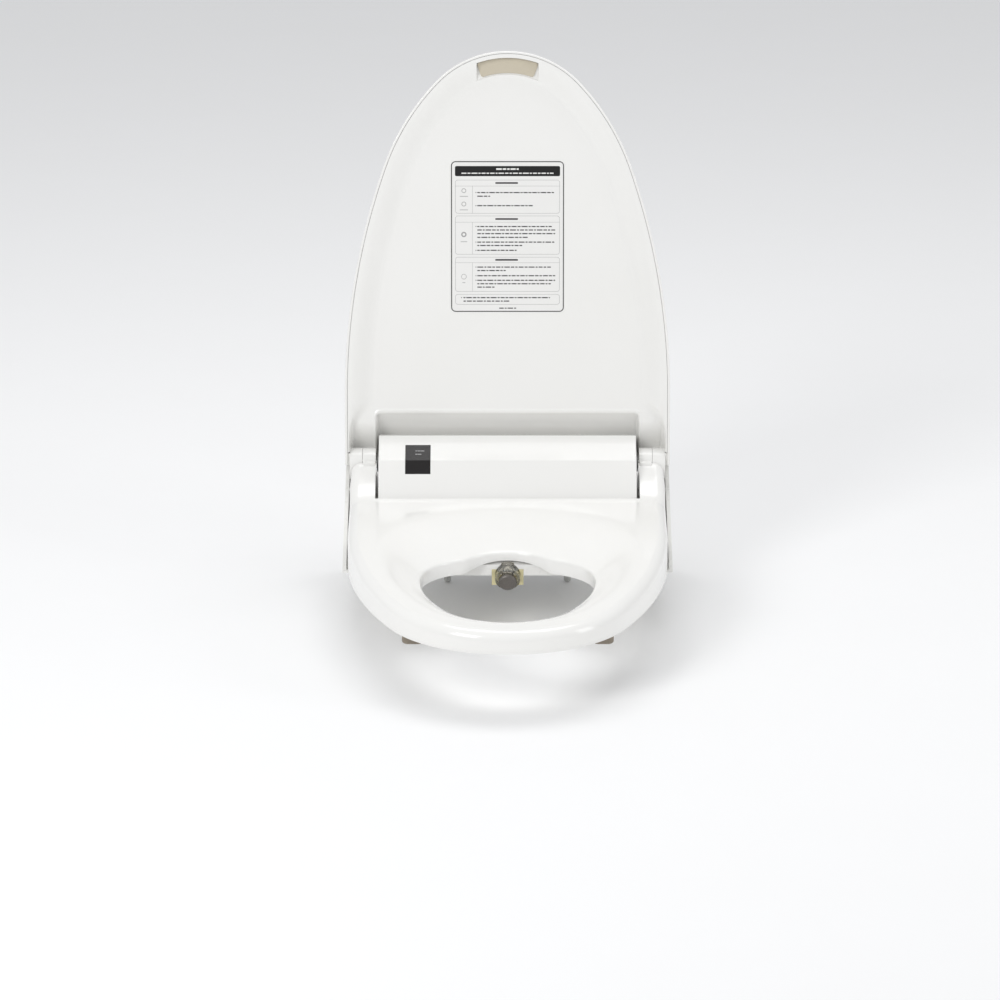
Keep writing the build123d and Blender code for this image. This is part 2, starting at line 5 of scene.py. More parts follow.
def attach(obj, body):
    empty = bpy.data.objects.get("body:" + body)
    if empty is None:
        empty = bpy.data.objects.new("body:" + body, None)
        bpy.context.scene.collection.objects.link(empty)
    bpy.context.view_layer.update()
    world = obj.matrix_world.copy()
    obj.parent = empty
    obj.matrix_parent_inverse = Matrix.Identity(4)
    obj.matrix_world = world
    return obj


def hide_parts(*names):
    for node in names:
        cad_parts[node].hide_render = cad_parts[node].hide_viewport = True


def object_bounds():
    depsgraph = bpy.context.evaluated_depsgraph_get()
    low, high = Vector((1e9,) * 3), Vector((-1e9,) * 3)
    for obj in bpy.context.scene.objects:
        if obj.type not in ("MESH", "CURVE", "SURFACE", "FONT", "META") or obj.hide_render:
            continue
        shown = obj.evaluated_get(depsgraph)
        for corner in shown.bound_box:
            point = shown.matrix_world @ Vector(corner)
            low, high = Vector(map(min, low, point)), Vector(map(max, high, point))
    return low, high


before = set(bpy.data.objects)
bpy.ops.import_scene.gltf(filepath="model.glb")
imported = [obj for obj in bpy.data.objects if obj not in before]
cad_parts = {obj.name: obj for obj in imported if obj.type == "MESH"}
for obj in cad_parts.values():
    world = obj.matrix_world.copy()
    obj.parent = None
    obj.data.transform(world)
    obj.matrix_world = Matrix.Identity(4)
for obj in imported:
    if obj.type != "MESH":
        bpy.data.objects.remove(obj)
cad_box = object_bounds()

# ---------------------------------------------------------------- base housing
# The base is a deep tray of white ABS, moulded in one piece with the two raised wings
# beside the hinge. It hooks onto a grey slide plate that two long bolts clamp to the bowl.


def plastic(name, colour, rough, drift=0.03, skin=0.03, grain=900.0, coat=0.0):
    """Moulded plastic: a tone that drifts over the part, uneven gloss and a fine orange peel."""
    red, green, blue = colour
    made = bpy.data.materials.new(name)
    made.use_nodes = True
    tree = made.node_tree
    shader = tree.nodes["Principled BSDF"]
    place = tree.nodes.new("ShaderNodeTexCoord")
    cloud = tree.nodes.new("ShaderNodeTexNoise")
    cloud.inputs["Scale"].default_value = 9.0
    cloud.inputs["Detail"].default_value = 4.0
    tone = tree.nodes.new("ShaderNodeMix")
    tone.data_type = "RGBA"
    tone.inputs["A"].default_value = (*colour, 1)
    tone.inputs["B"].default_value = (red * (1 - drift), green * (1 - drift * 1.1), blue * (1 - drift * 1.5), 1)
    haze = tree.nodes.new("ShaderNodeTexNoise")
    haze.inputs["Scale"].default_value = 45.0
    haze.inputs["Detail"].default_value = 6.0
    gloss = tree.nodes.new("ShaderNodeMapRange")
    gloss.inputs["To Min"].default_value = rough * 0.8
    gloss.inputs["To Max"].default_value = rough * 1.25
    peel = tree.nodes.new("ShaderNodeTexNoise")
    peel.inputs["Scale"].default_value = grain
    peel.inputs["Detail"].default_value = 2.0
    bump = tree.nodes.new("ShaderNodeBump")
    bump.inputs["Strength"].default_value = skin
    bump.inputs["Distance"].default_value = 0.0003
    shader.inputs["Coat Weight"].default_value = coat
    shader.inputs["Coat Roughness"].default_value = 0.05
    link = tree.links.new
    for pattern in (cloud, haze, peel):
        link(place.outputs["Object"], pattern.inputs["Vector"])
    link(cloud.outputs["Fac"], tone.inputs["Factor"])
    link(tone.outputs["Result"], shader.inputs["Base Color"])
    link(haze.outputs["Fac"], gloss.inputs["Value"])
    link(gloss.outputs["Result"], shader.inputs["Roughness"])
    link(peel.outputs["Fac"], bump.inputs["Height"])
    link(bump.outputs["Normal"], shader.inputs["Normal"])
    return made


def dress(material, *names):
    """Gives the material to pieces that keep their own shape."""
    for name in names:
        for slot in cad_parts[name].material_slots:
            slot.material = material


shell_white = plastic("gloss_white_shell", (0.87, 0.865, 0.845), 0.16, coat=0.35)
tray_white = plastic("tray_white", (0.84, 0.835, 0.81), 0.28, skin=0.08)
plate_grey = plastic("slide_plate_grey", (0.30, 0.31, 0.31), 0.5, drift=0.12, skin=0.15, grain=600)
foot_rubber = plastic("foot_rubber", (0.25, 0.215, 0.175), 0.62, drift=0.22, skin=0.3, grain=700)


def metal(name, colour, rough, along=(1, 1, 1), scale=220.0, relief=0.05, drift=0.12):
    """Bare metal: fine brushing stretched one way, with a slight change of tone and gloss."""
    made = bpy.data.materials.new(name)
    made.use_nodes = True
    tree = made.node_tree
    shader = tree.nodes["Principled BSDF"]
    shader.inputs["Metallic"].default_value = 1.0
    place = tree.nodes.new("ShaderNodeTexCoord")
    turn = tree.nodes.new("ShaderNodeMapping")
    turn.inputs["Scale"].default_value = along
    brush = tree.nodes.new("ShaderNodeTexNoise")
    brush.inputs["Scale"].default_value = scale
    brush.inputs["Detail"].default_value = 5.0
    tone = tree.nodes.new("ShaderNodeMix")
    tone.data_type = "RGBA"
    tone.inputs["A"].default_value = (*colour, 1)
    tone.inputs["B"].default_value = (*(c * (1 - drift) for c in colour), 1)
    gloss = tree.nodes.new("ShaderNodeMapRange")
    gloss.inputs["To Min"].default_value = rough * 0.7
    gloss.inputs["To Max"].default_value = rough * 1.4
    bump = tree.nodes.new("ShaderNodeBump")
    bump.inputs["Strength"].default_value = relief
    bump.inputs["Distance"].default_value = 0.0002
    link = tree.links.new
    link(place.outputs["Object"], turn.inputs["Vector"])
    link(turn.outputs["Vector"], brush.inputs["Vector"])
    link(brush.outputs["Fac"], tone.inputs["Factor"])
    link(tone.outputs["Result"], shader.inputs["Base Color"])
    link(brush.outputs["Fac"], gloss.inputs["Value"])
    link(gloss.outputs["Result"], shader.inputs["Roughness"])
    link(brush.outputs["Fac"], bump.inputs["Height"])
    link(bump.outputs["Normal"], shader.inputs["Normal"])
    return made


zinc = metal("zinc_plated_steel", (0.60, 0.60, 0.58), 0.32, along=(1, 1, 0.2))
dress(tray_white, "base_tray")
dress(plate_grey, "mounting_plate", "bolt_adjusters")
dress(zinc, "mounting_bolts")
dress(foot_rubber, "base_pads")

# ---------------------------------------------------------------- water side
# Cold water enters at a brass spigot, passes a solenoid valve, a turbine flow sensor and
# a small heating tank, and a motor-turned disc sends it to the nozzle. Clear hoses join them.

brass = metal("brass", (0.72, 0.55, 0.28), 0.28, along=(1, 0.25, 1), scale=160)
bright_steel = metal("bright_steel", (0.66, 0.64, 0.61), 0.14, along=(1, 1, 1), scale=90, relief=0.02)
moulded_black = plastic("moulded_black", (0.035, 0.035, 0.038), 0.42, drift=0.25, skin=0.2, grain=700)
moulded_grey = plastic("moulded_grey", (0.42, 0.43, 0.43), 0.42, drift=0.1, skin=0.12)
tank_white = plastic("tank_white", (0.74, 0.75, 0.74), 0.36, drift=0.08, skin=0.1)
clear_hose = plastic("clear_hose", (0.80, 0.82, 0.82), 0.2, drift=0.06, skin=0.05)
clear_hose.node_tree.nodes["Principled BSDF"].inputs["Transmission Weight"].default_value = 0.55


def coil(name, colour, pitch, axis, rough=0.35):
    """Enamelled wire wound side by side: ridges across the axis of the winding."""
    made = metal(name, colour, rough, scale=120)
    tree = made.node_tree
    place = tree.nodes["Texture Coordinate"]
    turns = tree.nodes.new("ShaderNodeTexWave")
    turns.bands_direction = axis
    turns.inputs["Scale"].default_value = 1 / pitch / 3.18
    turns.inputs["Distortion"].default_value = 0.6
    tree.links.new(place.outputs["Object"], turns.inputs["Vector"])
    tree.links.new(turns.outputs["Fac"], tree.nodes["Bump"].inputs["Height"])
    tree.nodes["Bump"].inputs["Strength"].default_value = 0.6
    return made


dress(brass, "inlet_spigot")
dress(moulded_black, "valve_body", "flow_sensor_body")
dress(coil("copper_winding", (0.62, 0.27, 0.13), 0.0008, "Z"), "valve_coil")
dress(metal("plunger_steel", (0.55, 0.55, 0.54), 0.3, along=(1, 1, 0.1)), "valve_plunger")
dress(moulded_grey, "flow_turbine", "selector_body")
dress(tank_white, "heater_tank")
dress(metal("heater_sheath", (0.50, 0.47, 0.43), 0.35, along=(0.2, 1, 1)), "heater_element")
dress(clear_hose, "water_hoses")
dress(plastic("selector_disc", (0.70, 0.66, 0.52), 0.4), "selector_rotor")
dress(metal("motor_can", (0.52, 0.52, 0.50), 0.3, along=(1, 1, 0.15)), "selector_motor", "nozzle_motor")

# ---------------------------------------------------------------- electrics
# A mains power module and a control board on posts fill the other side of the tray; the small
# display board with its two lamps hangs behind the cowl's window. The mains cord leaves by a gland.


def circuit_board(name, colour):
    """Green lacquered board: copper tracks show through as slightly paler paths."""
    made = plastic(name, colour, 0.34, drift=0.1)
    tree = made.node_tree
    place = tree.nodes["Texture Coordinate"]
    tracks = tree.nodes.new("ShaderNodeTexVoronoi")
    tracks.feature = "DISTANCE_TO_EDGE"
    tracks.distance = "MANHATTAN"
    tracks.inputs["Scale"].default_value = 160
    line = tree.nodes.new("ShaderNodeMapRange")
    line.inputs["From Max"].default_value = 0.08
    line.inputs["To Min"].default_value = 1
    line.inputs["To Max"].default_value = 0
    paint = tree.nodes.new("ShaderNodeMix")
    paint.data_type = "RGBA"
    paint.inputs["B"].default_value = (colour[0] * 2.2 + 0.03, colour[1] * 1.7, colour[2] * 1.6, 1)
    before = tree.nodes["Principled BSDF"].inputs["Base Color"].links[0].from_socket
    tree.links.new(place.outputs["Object"], tracks.inputs["Vector"])
    tree.links.new(tracks.outputs["Distance"], line.inputs["Value"])
    tree.links.new(line.outputs["Result"], paint.inputs["Factor"])
    tree.links.new(before, paint.inputs["A"])
    tree.links.new(paint.outputs["Result"], tree.nodes["Principled BSDF"].inputs["Base Color"])
    return made


board_green = circuit_board("board_green", (0.025, 0.16, 0.07))
dress(board_green, "control_board", "display_board")
dress(moulded_black, "power_module", "board_components")
dress(metal("post_steel", (0.58, 0.57, 0.54), 0.35), "board_posts")
dress(moulded_grey, "cord_gland")
lamp_glow = plastic("lamp_lens", (0.82, 0.86, 0.84), 0.22)
dress(lamp_glow, "indicator_lamps")

# ---------------------------------------------------------------- nozzle and its drive
# A stainless spray tube with a turned tip slides out under the front wall. It runs in an ivory
# guide, driven by rack and pinion, and a clear sleeve rings it where it comes through.

ivory = plastic("ivory_guide", (0.78, 0.71, 0.42), 0.34, drift=0.08, skin=0.06)
dress(ivory, "nozzle_guide", "nozzle_rack", "drive_pinion")
dress(metal("nozzle_tube_steel", (0.64, 0.62, 0.58), 0.2, along=(1, 0.15, 0.4)), "nozzle_tube")
dress(metal("nozzle_tip_steel", (0.62, 0.58, 0.52), 0.11, scale=60, relief=0.01), "nozzle_tip")
dress(metal("nozzle_cap_steel", (0.20, 0.185, 0.17), 0.42, scale=700, relief=0.25, drift=0.3), "nozzle_cap")
sleeve_clear = plastic("clear_sleeve", (0.93, 0.93, 0.90), 0.05, drift=0.05, skin=0.01)
sleeve_clear.node_tree.nodes["Principled BSDF"].inputs["Transmission Weight"].default_value = 0.95
sleeve_clear.node_tree.nodes["Principled BSDF"].inputs["IOR"].default_value = 1.46
dress(sleeve_clear, "nozzle_sleeve")

# ---------------------------------------------------------------- deck, cowl and display window
# The front deck slopes over the nozzle. The cowl is a single folded-looking moulding screwed down
# at the back, and a smoked acrylic window is let into it over two small lamps.

dress(shell_white, "top_cover", "front_deck")
dress(zinc, "case_screws")
smoked = plastic("smoked_acrylic", (0.016, 0.014, 0.015), 0.09, drift=0.3, skin=0.01)
smoked.node_tree.nodes["Principled BSDF"].inputs["Specular IOR Level"].default_value = 0.35
dress(smoked, "display_window")
SLOPE_FOOT = (0, -0.035, 0.097)
SLOPE_ANGLE = math.atan2(18.5, 36)
INK_DEPTH = 0.0001


def slope_bars(name, bars, material):
    """Thin bars that lie on the cowl's upper slope, (left, right, up the slope, height) in mm."""
    bm = bmesh.new()
    slope = Matrix.Translation(SLOPE_FOOT) @ Matrix.Rotation(SLOPE_ANGLE, 4, "X")
    for left, right, up, tall in bars:
        middle = Matrix.Translation(((left + right) / 2000, up / 1000, INK_DEPTH))
        size = Matrix.Diagonal(((right - left) / 1000, tall / 1000, INK_DEPTH, 1))
        bmesh.ops.create_cube(bm, size=1, matrix=slope @ middle @ size)
    mesh = bpy.data.meshes.new(name)
    bm.to_mesh(mesh)
    bm.free()
    piece = bpy.data.objects.new(name, mesh)
    bpy.context.scene.collection.objects.link(piece)
    mesh.materials.append(material)
    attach(piece, "base")


upper_marks = [(-106.5, -104.4, 15.3, 1.1), (-103.9, -101.2, 15.3, 1.1), (-100.7, -96.2, 15.3, 1.1)]
lower_marks = [(-106.5, -104.2, 9.9, 1.1), (-103.7, -99.6, 9.9, 1.1)]
display_print = plastic("display_print", (0.48, 0.48, 0.49), 0.4, drift=0.1)
slope_bars("display_marks", upper_marks + lower_marks, display_print)

# ---------------------------------------------------------------- hinge pieces and release button
# Steel brackets in the tray carry the two rotary dampers, and a nylon bush lines each free hub.
# The release button sits in the side wall and frees the whole seat from its plate.

dress(metal("bracket_steel", (0.56, 0.56, 0.54), 0.33, along=(1, 0.2, 1)), "hinge_brackets")
dress(moulded_grey, "seat_damper_housing", "lid_damper_housing", "seat_bush", "lid_bush")
dress(metal("damper_shaft_steel", (0.60, 0.60, 0.58), 0.22, along=(0.1, 1, 1)), "seat_damper_shaft", "lid_damper_shaft")
dress(plastic("button_grey", (0.60, 0.60, 0.585), 0.33), "release_button")

# ---------------------------------------------------------------- seat, upper shell
# The heated seat's top is a glossy white moulding: a wide ring with a rolled outer edge,
# dished down to the opening, and two arms that climb beside the cowl to the hinge barrels.

HINGE_Z = 0.082
MERGE = 2e-6
ON_LINE = 2e-5


def arc_chain(bm, start_y, arcs, inset, z):
    """Draws arcs of (radius, degrees, steps) end to end from the centre line outward.

    The whole line is shifted sideways by inset."""
    v = bm.verts.new((0, start_y + inset, z))
    heading = 0.0
    for radius, turn, steps in arcs:
        r = radius - math.copysign(inset, turn)
        side = heading + math.copysign(math.pi / 2, turn)
        centre = v.co + Vector((math.cos(side), math.sin(side), 0)) * r
        made = bmesh.ops.spin(bm, geom=[v], cent=centre, axis=(0, 0, 1), angle=math.radians(turn), steps=steps)
        v = [g for g in made["geom_last"] if isinstance(g, bmesh.types.BMVert)][0]
        heading += math.radians(turn)
    return v


def run_on(bm, v, points):
    """Draws a vertex out through further (x, y) points."""
    for x, y in points:
        v = bmesh.ops.extrude_vert_indiv(bm, verts=[v])["verts"][0]
        v.co.x, v.co.y = x, y
    return v


def row(bm, make):
    """Runs make() and returns the edges it drew."""
    before = set(bm.edges)
    make()
    return [e for e in bm.edges if e not in before]


def cut(bm, faces, point, normal):
    """Adds a line of vertices where a plane crosses some faces."""
    geom = dict.fromkeys(faces)
    for f in faces:
        geom.update(dict.fromkeys(f.edges))
        geom.update(dict.fromkeys(f.verts))
    bmesh.ops.bisect_plane(bm, geom=list(geom), plane_co=point, plane_no=normal, dist=1e-6)


def across(line, y):
    """Reads a height off a line of (y, height) points."""
    for (y0, z0), (y1, z1) in zip(line, line[1:]):
        if y <= y1:
            return z0 + (z1 - z0) * min(max((y - y0) / (y1 - y0), 0), 1)
    return line[-1][1]


def ease(t):
    """Rises smoothly from 0 to 1 as t does."""
    t = min(max(t, 0), 1)
    return t * t * (3 - 2 * t)


def mirror_half(bm):
    """Mirrors a half that was drawn on the right and joins it on the centre plane."""
    half = bm.verts[:] + bm.edges[:] + bm.faces[:]
    bmesh.ops.mirror(bm, geom=half, matrix=Matrix.Identity(4), merge_dist=MERGE, axis="X")
    bmesh.ops.remove_doubles(bm, verts=bm.verts, dist=MERGE)


def moulding(bm, name, body, material, node, facing=None, wall=None, edge=None):
    """Makes a mesh into a named piece at the origin, with its wall thickness and rounded edges.

    facing is a point and the way that the skin faces there."""
    bmesh.ops.remove_doubles(bm, verts=bm.verts, dist=MERGE)
    bmesh.ops.recalc_face_normals(bm, faces=bm.faces)
    if facing:
        point, direction = Vector(facing[0]), Vector(facing[1])
        nearest = min(bm.faces, key=lambda f: (f.calc_center_median() - point).length)
        if nearest.normal.dot(direction) < 0:
            bmesh.ops.reverse_faces(bm, faces=bm.faces)
    mesh = bpy.data.meshes.new(name)
    bm.to_mesh(mesh)
    bm.free()
    piece = bpy.data.objects.new(name, mesh)
    bpy.context.scene.collection.objects.link(piece)
    mesh.materials.append(material)
    for polygon in mesh.polygons:
        polygon.use_smooth = True
    mesh.set_sharp_from_angle(angle=math.radians(40))
    if wall:
        thick = piece.modifiers.new("wall", "SOLIDIFY")
        thick.thickness = wall
        thick.offset = -1
    if edge:
        soft = piece.modifiers.new("edge", "BEVEL")
        soft.width = edge
        soft.segments = 3
        soft.limit_method = "ANGLE"
        soft.angle_limit = math.radians(50)
        soft.harden_normals = True
    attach(piece, body)
    if node:
        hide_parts(node)
    return piece


SEAT_TIP_Y = -0.463
SEAT_ROLL = 0.012
SEAT_WALL = 0.0028
SEAT_OUTLINE = ((0.141, 64, 12), (0.545, 26, 21))
DISH_REAR_Y = -0.064
DISH_EDGE = ((0.300, -12, 7), (0.060336, -28, 3), (0.171853, -50, 17), (0.302263, -35, 21), (0.116384, -55, 12))
DISH_END_Z = 0.0295
OPENING_REAR_Y = -0.166
OPENING_EDGE = ((0.058, -48, 9), (0.040, 25, 4), (0.067, -67, 12), (0.2085, -35, 20), (0.0736, -55, 15))
SEAT_CREST = ((-0.52, 0.033), (-0.062, 0.058), (-0.04, 0.0725), (-0.016, 0.0925), (0.03, 0.096))
SEAT_PARTING = ((-0.52, 0.015), (-0.19, 0.015), (-0.062, 0.033), (-0.022, 0.064), (0.03, 0.064))
BRIDGE_PARTING = ((-0.19, 0.015), (-0.178, 0.0184), (-0.062, 0.0556), (-0.04, 0.063))
ARM_IN = 0.1525
NOTCH_Y = -0.062
ARM_END = -0.0198
ARM_TAPER_Y = -0.034


def seat_crest(y):
    """The seat's highest line, softened where it changes slope."""
    return sum(across(SEAT_CREST, y + s * 0.0022) for s in range(-4, 5)) / 9


def seat_parting(x, y):
    """The lower edge of the upper shell, which rises under the bridge behind the opening."""
    return across(BRIDGE_PARTING, y) if abs(x) < 0.135 and y > -0.19 else across(SEAT_PARTING, y)


def seat_line(inset, z):
    """Half of the seat's outline: the ring, the straight arm and the rear edge."""
    v = arc_chain(bm, SEAT_TIP_Y, SEAT_OUTLINE, inset, z)
    side, start = v.co.x, v.co.y
    v = run_on(bm, v, [(side, start * (12 - i) / 12) for i in range(1, 13)])
    run_on(bm, v, [(side * (15 - i) / 15, 0) for i in range(1, 16)])


bm = bmesh.new()
# each row's height is a code until the rows are cut: 0 is the parting, 1 the start of the roll,
# 2 the crest and the dish's edge, 3 the dish's end, and 4 to 7 the lip of the opening
rows = [row(bm, lambda: seat_line(0, 0))]
for k in range(9):
    turn = math.pi / 2 * k / 8
    rows.append(row(bm, lambda: seat_line(SEAT_ROLL * (1 - math.cos(turn)), 1 + k / 8)))
rows.append(row(bm, lambda: arc_chain(bm, DISH_REAR_Y, DISH_EDGE, 0, 2)))
rows.append(row(bm, lambda: arc_chain(bm, OPENING_REAR_Y, OPENING_EDGE, 0.003, 3)))
for grown, code in ((0.0012, 4), (0.0003, 5), (0, 6), (0, 7)):
    rows.append(row(bm, lambda: arc_chain(bm, OPENING_REAR_Y, OPENING_EDGE, grown, code)))
for k, (a, b) in enumerate(zip(rows, rows[1:])):
    between = bmesh.ops.bridge_loops(bm, edges=a + b)["edges"]
    cuts = {9: 5, 10: 15}.get(k)
    if cuts:
        bmesh.ops.subdivide_edges(bm, edges=between, cuts=cuts, use_grid_fill=True)
for v in bm.verts:
    if abs(v.co.x) < ON_LINE:
        v.co.x = 0
mirror_half(bm)
for y in list(range(-140, -84, 8)) + list(range(-84, -20, 3)) + [-62, -19.8]:
    near = [f for f in bm.faces if min(v.co.y for v in f.verts) < y / 1000 < max(v.co.y for v in f.verts)]
    cut(bm, near, (0, y / 1000, 0), (0, 1, 0))
for side in (-ARM_IN, ARM_IN):
    near = [f for f in bm.faces if f.calc_center_median().y > -0.075 and f.calc_center_median().z < 3.5]
    cut(bm, near, (side, 0, 0), (1, 0, 0))
middles = {f: f.calc_center_median() for f in bm.faces}
gone = [f for f, m in middles.items() if m.y > ARM_END or (m.y > NOTCH_Y and abs(m.x) < ARM_IN)]
bmesh.ops.delete(bm, geom=gone, context="FACES")
bmesh.ops.delete(bm, geom=[v for v in bm.verts if not v.link_faces], context="VERTS")
for v in bm.verts:
    code, crest = v.co.z, seat_crest(v.co.y)
    low = seat_parting(v.co.x, v.co.y)
    if code <= 1:
        v.co.z = across(SEAT_PARTING, v.co.y) * (1 - code) + (crest - SEAT_ROLL) * code
    elif code <= 2:
        v.co.z = crest - SEAT_ROLL * (1 - math.sin(math.pi / 2 * (code - 1)))
    elif code <= 3:
        v.co.z = crest - (crest - DISH_END_Z) * (1 - math.cos(math.pi / 2 * (code - 2)))
    else:
        v.co.z = across(((3, DISH_END_Z), (4, 0.0286), (5, 0.0272), (6, 0.0255), (7, low)), code)


def in_notch(v):
    return v.co.y > NOTCH_Y - 1e-5 and abs(v.co.x) < ARM_IN + 1e-5


notch = [e for e in bm.edges if e.is_boundary and all(in_notch(v) for v in e.verts)]
skirt = bmesh.ops.extrude_edge_only(bm, edges=notch)["geom"]
for v in (g for g in skirt if isinstance(g, bmesh.types.BMVert)):
    v.co.z = seat_parting(v.co.x, v.co.y)
open_edges = [e for e in bm.edges if e.is_boundary and all(abs(v.co.y - ARM_END) < ON_LINE for v in e.verts)]
for side in (-1, 1):
    end = [e for e in open_edges if all(v.co.x * side > 0 for v in e.verts)]
    loose = [v for v in dict.fromkeys(v for e in end for v in e.verts) if sum(e in end for e in v.link_edges) == 1]
    end.append(bm.edges.new(loose))
    bmesh.ops.edgeloop_fill(bm, edges=end)
# the arms' ends follow the barrels round, and draw in a little to clear the closed lid
for v in bm.verts:
    if abs(v.co.y - ARM_END) < ON_LINE and v.co.z > HINGE_Z:
        v.co.y = -math.sqrt(ARM_END**2 - (v.co.z - HINGE_Z) ** 2)
for v in bm.verts:
    if v.co.y > ARM_TAPER_Y:
        v.co.x *= 1 - 0.006 * ease((v.co.y - ARM_TAPER_Y) / 0.01)
moulding(bm, "seat_top_shell", "seat", shell_white, "seat_upper_shell",
         facing=((0, -0.455, 0.04), (0, 0, 1)), wall=SEAT_WALL, edge=0.0009)


def barrels(bm, inner, outer, radius, rounding):
    """A pair of hinge barrels on the hinge line, their rims rounded."""
    for side in (-1, 1):
        place = Matrix.Translation((side * (inner + outer) / 2, 0, HINGE_Z)) @ Matrix.Rotation(math.pi / 2, 4, "Y")
        made = bmesh.ops.create_cone(bm, cap_ends=True, segments=72, radius1=radius, radius2=radius,
                                     depth=outer - inner, matrix=place)
        edges = dict.fromkeys(e for v in made["verts"] for e in v.link_edges)
        ends = [e for e in edges if abs(e.verts[0].co.x - e.verts[1].co.x) < 1e-6]
        bmesh.ops.bevel(bm, geom=ends, offset=rounding, affect="EDGES", segments=4, profile=0.5, material=-1)


def brick(bm, low, high, rounding):
    """A rounded block between two corners."""
    size = [h - l for l, h in zip(low, high)]
    place = Matrix.Translation([(l + h) / 2 for l, h in zip(low, high)]) @ Matrix.Diagonal((*size, 1))
    made = bmesh.ops.create_cube(bm, size=1, matrix=place)
    edges = list(dict.fromkeys(e for v in made["verts"] for e in v.link_edges))
    bmesh.ops.bevel(bm, geom=edges, offset=rounding, affect="EDGES", segments=3, profile=0.5, material=-1)


def brick_on(bm, side, inner, outer, low, high, rounding):
    """A rounded block between two distances out from the centre plane, on one side."""
    left, right = sorted((side * inner, side * outer))
    brick(bm, (left, *low), (right, *high), rounding)


BARREL_R = 0.0185
bm = bmesh.new()
barrels(bm, 0.1525, 0.16775, BARREL_R, 0.0005)
for side in (-1, 1):
    brick_on(bm, side, 0.1528, 0.1670, (-0.0235, 0.0665), (-0.004, 0.0905), 0.0012)
moulding(bm, "seat_hinge_barrels", "seat", shell_white, None)

# ---------------------------------------------------------------- seat, lower shell, heater and feet
# The underside is a thinner white moulding clipped into the top along a fine seam. A foil heater
# is bonded under the top's skin, and four rubber feet rest on the bowl's rim.

dress(plastic("seat_under_white", (0.85, 0.845, 0.825), 0.22, coat=0.2), "seat_lower_shell")
dress(metal("heater_foil", (0.70, 0.70, 0.69), 0.3, scale=500, relief=0.2), "seat_heater")
dress(foot_rubber, "seat_feet")

# ---------------------------------------------------------------- lid, outer shell
# The lid is one deep shell of the same glossy white plastic, domed a little, with straight walls
# and a rounded crown. It hangs on two outer barrels and leans ten degrees back when raised.

LID_TIP_Y = -0.479
LID_OUTLINE = ((0.114, 46, 26), (0.272, 24.5, 18), (0.790, 19.5, 26))
LID_CROWN = ((LID_TIP_Y, 0.0025), (-0.40, 0.009), (-0.25, 0.0175), (-0.11, 0.026),
             (-0.06, 0.033), (-0.025, 0.038), (0, 0.0385))
LID_RIM = -0.017
LID_ROLL = 0.013
LID_HALF = 0.188
raise_lid = Matrix.Translation((0, 0, HINGE_Z)) @ Matrix.Rotation(math.radians(-100), 4, "X")


def lid_crown(y):
    """The lid's outer face along its centre line, softened where it changes slope."""
    return sum(across(LID_CROWN, y + s * 0.004) for s in range(-4, 5)) / 9


def lid_line(inset, z, tail):
    """Half of the lid's outline, run on straight to its tail at the hinge."""
    v = arc_chain(bm, LID_TIP_Y, LID_OUTLINE, inset, z)
    side, start = v.co.x, v.co.y
    run_on(bm, v, [(side, start + (tail - start) * i / 24) for i in range(1, 25)])


bm = bmesh.new()
# as on the seat, a row's height is a code: 0 the rim, 1 the start of the roll, 2 the crown
rows = [row(bm, lambda: lid_line(0, 0, 0)), row(bm, lambda: lid_line(0, 0.5, 0))]
for k in range(9):
    turn = math.pi / 2 * k / 8
    rows.append(row(bm, lambda: lid_line(LID_ROLL * (1 - math.cos(turn)), 1 + k / 8, 0)))
for a, b in zip(rows, rows[1:]):
    bmesh.ops.bridge_loops(bm, edges=a + b)
tail_end = max({v for e in rows[-1] for v in e.verts}, key=lambda v: v.co.y)
run_on(bm, tail_end, [(0, 0)])
mirror_half(bm)


def at_level(parts, level, slack):
    """The edges or faces that lie whole at one height."""
    return [p for p in parts if all(abs(v.co.z - level) < slack for v in p.verts)]


ring = [e for e in at_level(bm.edges, 2, 1e-4) if len(e.link_faces) < 2]
bmesh.ops.edgeloop_fill(bm, edges=ring)
for x in range(-168, 169, 12):
    cut(bm, at_level(bm.faces, 2, 1e-4), (x / 1000, 0, 0), (1, 0, 0))
for y in range(-460, 0, 10):
    cut(bm, at_level(bm.faces, 2, 1e-4), (0, y / 1000, 0), (0, 1, 0))
for v in bm.verts:
    code, crown = v.co.z, lid_crown(v.co.y)
    if code <= 1:
        height = LID_RIM * (1 - code) + (crown - LID_ROLL) * code
    else:
        height = crown - LID_ROLL * (1 - math.sin(math.pi / 2 * (code - 1)))
    v.co.z = LID_RIM + (height - LID_RIM) * (1 - 0.03 * (v.co.x / LID_HALF) ** 2)
bmesh.ops.transform(bm, matrix=raise_lid, verts=bm.verts)
moulding(bm, "lid_outer", "lid", shell_white, "lid_outer_shell",
         facing=(raise_lid @ Vector((0, -0.24, 0.02)), (0, 1, 0)), wall=0.003, edge=0.0011)

bm = bmesh.new()
barrels(bm, 0.1680, 0.1826, BARREL_R, 0.0005)
for side in (-1, 1):
    before = set(bm.verts)
    brick_on(bm, side, 0.1686, 0.1855, (-0.015, 0.002), (-0.0005, 0.034), 0.0012)
    brick_on(bm, side, 0.1816, 0.1855, (-0.014, -0.014), (-0.0005, 0.030), 0.0008)
    bmesh.ops.transform(bm, matrix=raise_lid, verts=[v for v in bm.verts if v not in before])
moulding(bm, "lid_hinge_barrels", "lid", shell_white, None)

# ---------------------------------------------------------------- lid, lining
# A second moulding closes the lid's inside: a narrow rim land, a shallow dish,
# and near the hinge a deep recess with rounded corners that clears the cowl when the lid is down.


